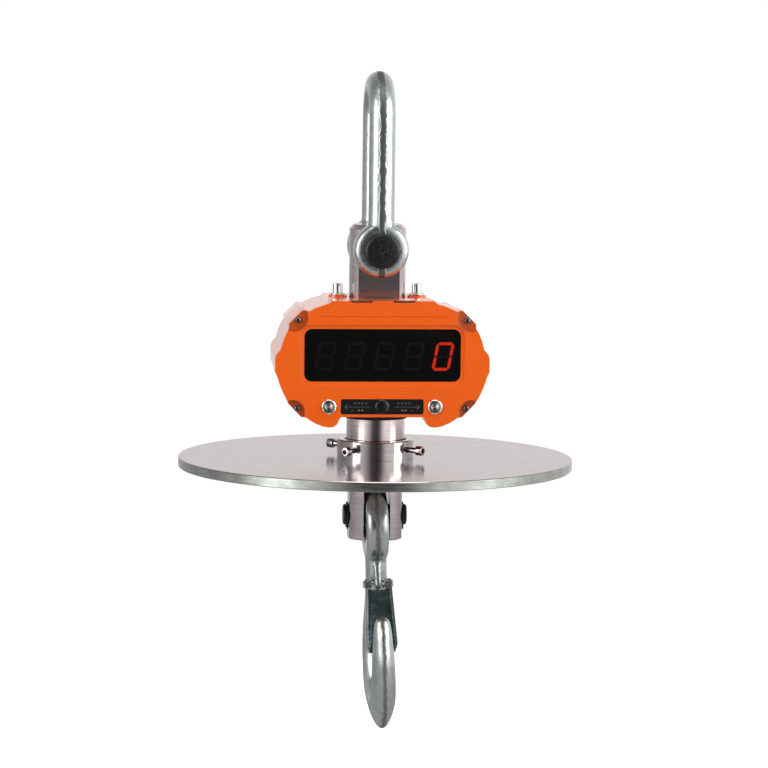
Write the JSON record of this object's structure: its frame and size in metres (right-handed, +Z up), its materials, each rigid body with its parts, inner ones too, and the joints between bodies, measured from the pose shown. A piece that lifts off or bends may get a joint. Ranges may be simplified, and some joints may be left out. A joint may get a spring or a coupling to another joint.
{
  "type": "crane scale",
  "caption": "Hanging crane scale: shackle, load cell with an orange indicator housing, round heat shield disc and latched eye hook.",
  "frame": {"origin": "inside of the shackle's crown, where the supporting hook bears, on the shackle's centre line", "axes": "+Z up along the load line, -Y out of the indicator's display face, +X to the right of someone reading the display"},
  "size_m": [0.42, 0.42, 0.7043],
  "materials": {
    "zinc": "bright zinc-plated forging",
    "black_steel": "blackened steel",
    "machined": "fine turned",
    "stainless": "polished stainless",
    "orange": "glossy powder coat",
    "rubber": "moulded",
    "smoked": "smoked acrylic",
    "board": "solder mask",
    "digit": "unlit display",
    "lit_digit": "lit display",
    "black_plastic": "printed sheet",
    "disc": "satin polished",
    "latch_steel": "dark pressed sheet",
    "battery": "shrink wrapped",
    "spring_steel": "drawn wire"
  },
  "bodies": {
    "shackle": {"shackle_bow": "zinc", "shackle_pin": "black_steel", "shackle_washer": "zinc", "shackle_nut": "zinc", "shackle_split_pin": "spring_steel"},
    "button_left": {"button_plunger_left": "stainless"},
    "button_right": {"button_plunger_right": "stainless"},
    "battery_door": {"battery_door": "orange"},
    "door_lock": {"door_lock": "stainless"},
    "socket_lid": {"socket_lid": "stainless"},
    "hook": {"hook_body": "zinc", "latch_pin": "stainless"},
    "latch": {"safety_latch": "latch_steel", "latch_spring": "spring_steel"},
    "scale_body": {"battery_pack": "battery", "battery_tray": "black_plastic", "button_unit_left": "stainless", "button_unit_right": "stainless", "charging_socket": "stainless", "collar_screw_front_left": "stainless", "collar_screw_front_right": "stainless", "collar_screw_rear_left": "stainless", "collar_screw_rear_right": "stainless", "display_board": "board", "display_window": "smoked", "door_hinge_pin": "stainless", "front_cover": "orange", "front_gasket": "rubber", "front_screw_left_lower": "black_steel", "front_screw_left_upper": "black_steel", "front_screw_right_lower": "black_steel", "front_screw_right_upper": "black_steel", "hook_pin": "black_steel", "housing_body": "orange", "ir_window": "smoked", "label_plate": "black_plastic", "led_digit_1": "digit", "led_digit_2": "digit", "led_digit_3": "digit", "led_digit_4": "digit", "led_digit_5": "lit_digit", "load_cell": "machined", "lower_seal": "rubber", "main_board": "board", "mounting_flange": "machined", "rear_cover": "orange", "rear_gasket": "rubber", "rear_screw_left_lower": "black_steel", "rear_screw_left_upper": "black_steel", "rear_screw_right_lower": "black_steel", "rear_screw_right_upper": "black_steel", "retaining_ring_left": "black_steel", "retaining_ring_right": "black_steel", "shield_collar": "machined", "shield_disc": "disc", "signal_cable": "rubber", "top_screw_left": "stainless", "top_screw_right": "stainless", "top_washer_left": "stainless", "top_washer_right": "stainless"}
  },
  "joints": [
    {"name": "scale_swing", "type": "hinge", "parent": "shackle", "child": "scale_body", "pos_m": [0, 0, -0.159], "axis": [0, 1, 0], "range_deg": [-115, 115]},
    {"name": "button_press_left", "type": "slide", "parent": "scale_body", "child": "button_left", "axis": [0, 1, 0], "range_m": [0, 0.0015], "stiffness_N_per_m": 300},
    {"name": "button_press_right", "type": "slide", "parent": "scale_body", "child": "button_right", "axis": [0, 1, 0], "range_m": [0, 0.0015], "stiffness_N_per_m": 300},
    {"name": "battery_door_hinge", "type": "hinge", "parent": "scale_body", "child": "battery_door", "pos_m": [0, 0.0724, -0.223], "axis": [1, 0, 0], "range_deg": [0, 120]},
    {"name": "door_lock_turn", "type": "hinge", "parent": "battery_door", "child": "door_lock", "pos_m": [0, 0.0747, -0.306], "axis": [0, 1, 0], "range_deg": [0, 90]},
    {"name": "socket_lid_hinge", "type": "hinge", "parent": "scale_body", "child": "socket_lid", "pos_m": [0.076, 0.0733, -0.2854], "axis": [1, 0, 0], "range_deg": [0, 120], "stiffness_Nm_per_rad": 0.005, "springref_deg": -20.05},
    {"name": "hook_swing", "type": "hinge", "parent": "scale_body", "child": "hook", "pos_m": [0, 0, -0.445], "axis": [1, 0, 0], "range_deg": [-65, 65]},
    {"name": "latch_hinge", "type": "hinge", "parent": "hook", "child": "latch", "pos_m": [0.00318, -0.015, -0.51793], "axis": [0.999, 0, 0.0436], "range_deg": [0, 42], "stiffness_Nm_per_rad": 0.2, "springref_deg": -28.65}
  ]
}
